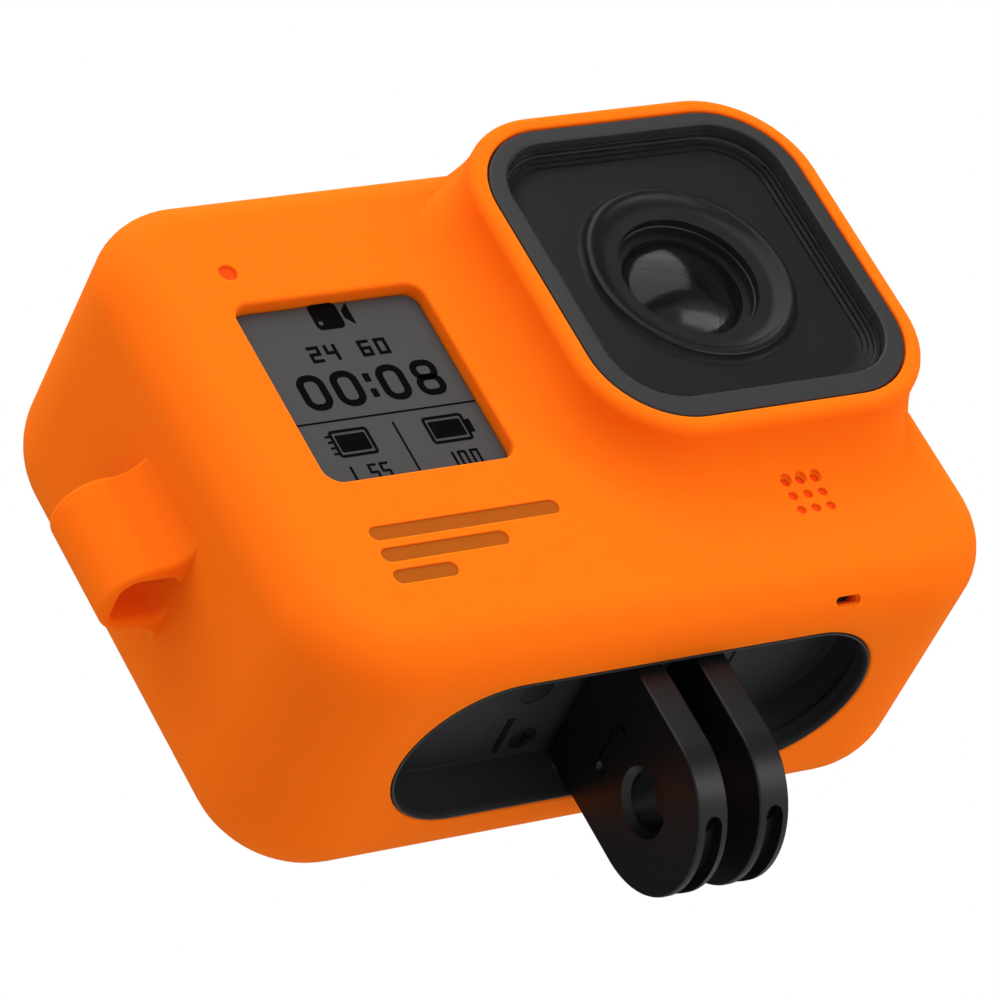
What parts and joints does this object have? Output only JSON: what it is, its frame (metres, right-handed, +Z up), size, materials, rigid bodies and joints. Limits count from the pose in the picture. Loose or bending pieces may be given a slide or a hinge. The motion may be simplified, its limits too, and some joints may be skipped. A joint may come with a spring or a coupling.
{
  "type": "action camera",
  "caption": "Compact waterproof action camera in a soft orange silicone sleeve with a lanyard loop, square lens window, front status display, rear touch screen and folding mount fingers.",
  "frame": {"origin": "centre of the bore through the two fold-out mounting fingers, with the fingers out", "axes": "+X along the bore, to the right as seen from the front; +Y to the rear, so the lens looks along -Y; +Z up"},
  "size_m": [0.077, 0.0356, 0.0685],
  "materials": {
    "silicone_orange": "soft matte silicone with a faint sheen",
    "casing_plastic": "fine-textured glass-filled plastic",
    "bezel_metal": "satin dark grey coated metal",
    "window_glass": "clear coated cover glass",
    "display_window": "clear plastic over the status display",
    "rear_glass": "black-backed touch glass",
    "lens_glass": "coated optical glass",
    "lens_black": "satin black",
    "inner_plastic": "moulded black plastic",
    "filter_glass": "red-tinted filter glass",
    "sensor_black": "glass-topped sensor chip",
    "board_green": "solder-masked circuit board",
    "display_grey": "reflective grey liquid-crystal panel",
    "copper": "copper on amber film",
    "light_guide": "clear red-orange plastic",
    "light_cream": "light-emitting diode package",
    "gold": "gold plating",
    "panel_dark": "display panel",
    "black_rubber": "black rubber",
    "red_rubber": "red-brown silicone seal",
    "chassis_metal": "stamped and tinned sheet",
    "thermal_grey": "soft thermal pad",
    "chip_black": "moulded chip packages",
    "card_black": "memory card plastic",
    "battery_wrap": "plastic-wrapped cell",
    "pull_tab_white": "white woven tape",
    "steel": "stainless steel",
    "latch_plastic": "ribbed sliding latch",
    "speaker_plastic": "speaker housing",
    "button_plastic": "satin dark grey button caps",
    "finger_plastic": "satin black glass-filled plastic"
  },
  "bodies": {
    "camera": {"sleeve": "silicone_orange", "lanyard_loop": "silicone_orange", "front_casing": "casing_plastic", "rear_casing": "casing_plastic", "lens_bezel": "bezel_metal", "lens_window": "window_glass", "lens_window_gasket": "black_rubber", "lens_surround": "lens_black", "lens_front_element": "lens_glass", "lens_inner_elements": "lens_glass", "lens_retaining_ring": "lens_black", "lens_barrel": "lens_black", "lens_holder": "inner_plastic", "infrared_filter": "filter_glass", "image_sensor": "sensor_black", "sensor_board": "board_green", "status_display_window": "display_window", "status_display_panel": "display_grey", "status_display_flex": "copper", "status_light_guide": "light_guide", "status_light": "light_cream", "front_microphone": "gold", "drain_microphone": "gold", "top_microphone": "gold", "rear_display_glass": "rear_glass", "rear_display_panel": "panel_dark", "rear_display_gasket": "black_rubber", "chassis": "chassis_metal", "main_board": "board_green", "board_chips": "chip_black", "chip_shields": "chassis_metal", "thermal_pad": "thermal_grey", "port_board": "board_green", "battery": "battery_wrap", "battery_pull_tab": "pull_tab_white", "battery_contacts": "gold", "usb_port": "steel", "card_slot": "chassis_metal", "memory_card": "card_black", "side_door": "casing_plastic", "door_gasket": "red_rubber", "door_latch": "latch_plastic", "door_hinge_pin": "steel", "speaker": "speaker_plastic", "antenna": "copper", "casing_screws": "steel", "mount_tray": "casing_plastic", "mount_tray_screws": "steel", "tray_magnets": "steel", "hinge_pins": "steel", "hinge_washers": "steel", "shutter_bezel": "bezel_metal", "shutter_boot": "black_rubber", "mode_boot": "black_rubber"},
    "shutter": {"shutter_button": "button_plastic"},
    "mode": {"mode_button": "button_plastic"},
    "left_finger": {"left_finger": "finger_plastic", "left_finger_keeper": "steel"},
    "right_finger": {"right_finger": "finger_plastic", "right_finger_keeper": "steel"}
  },
  "joints": [
    {"name": "left_finger_fold", "type": "hinge", "parent": "camera", "child": "left_finger", "pos_m": [-0.0031, 0, 0.01092], "axis": [0, 1, 0], "range_deg": [0, 90]},
    {"name": "right_finger_fold", "type": "hinge", "parent": "camera", "child": "right_finger", "pos_m": [0.0031, 0, 0.01092], "axis": [0, -1, 0], "range_deg": [0, 90]},
    {"name": "shutter_press", "type": "slide", "parent": "camera", "child": "shutter", "axis": [0, 0, -1], "range_m": [0, 0.0005], "stiffness_N_per_m": 2500, "springref_m": -0.0003},
    {"name": "mode_press", "type": "slide", "parent": "camera", "child": "mode", "axis": [-1, 0, 0], "range_m": [0, 0.0005], "stiffness_N_per_m": 2500, "springref_m": -0.0003}
  ]
}
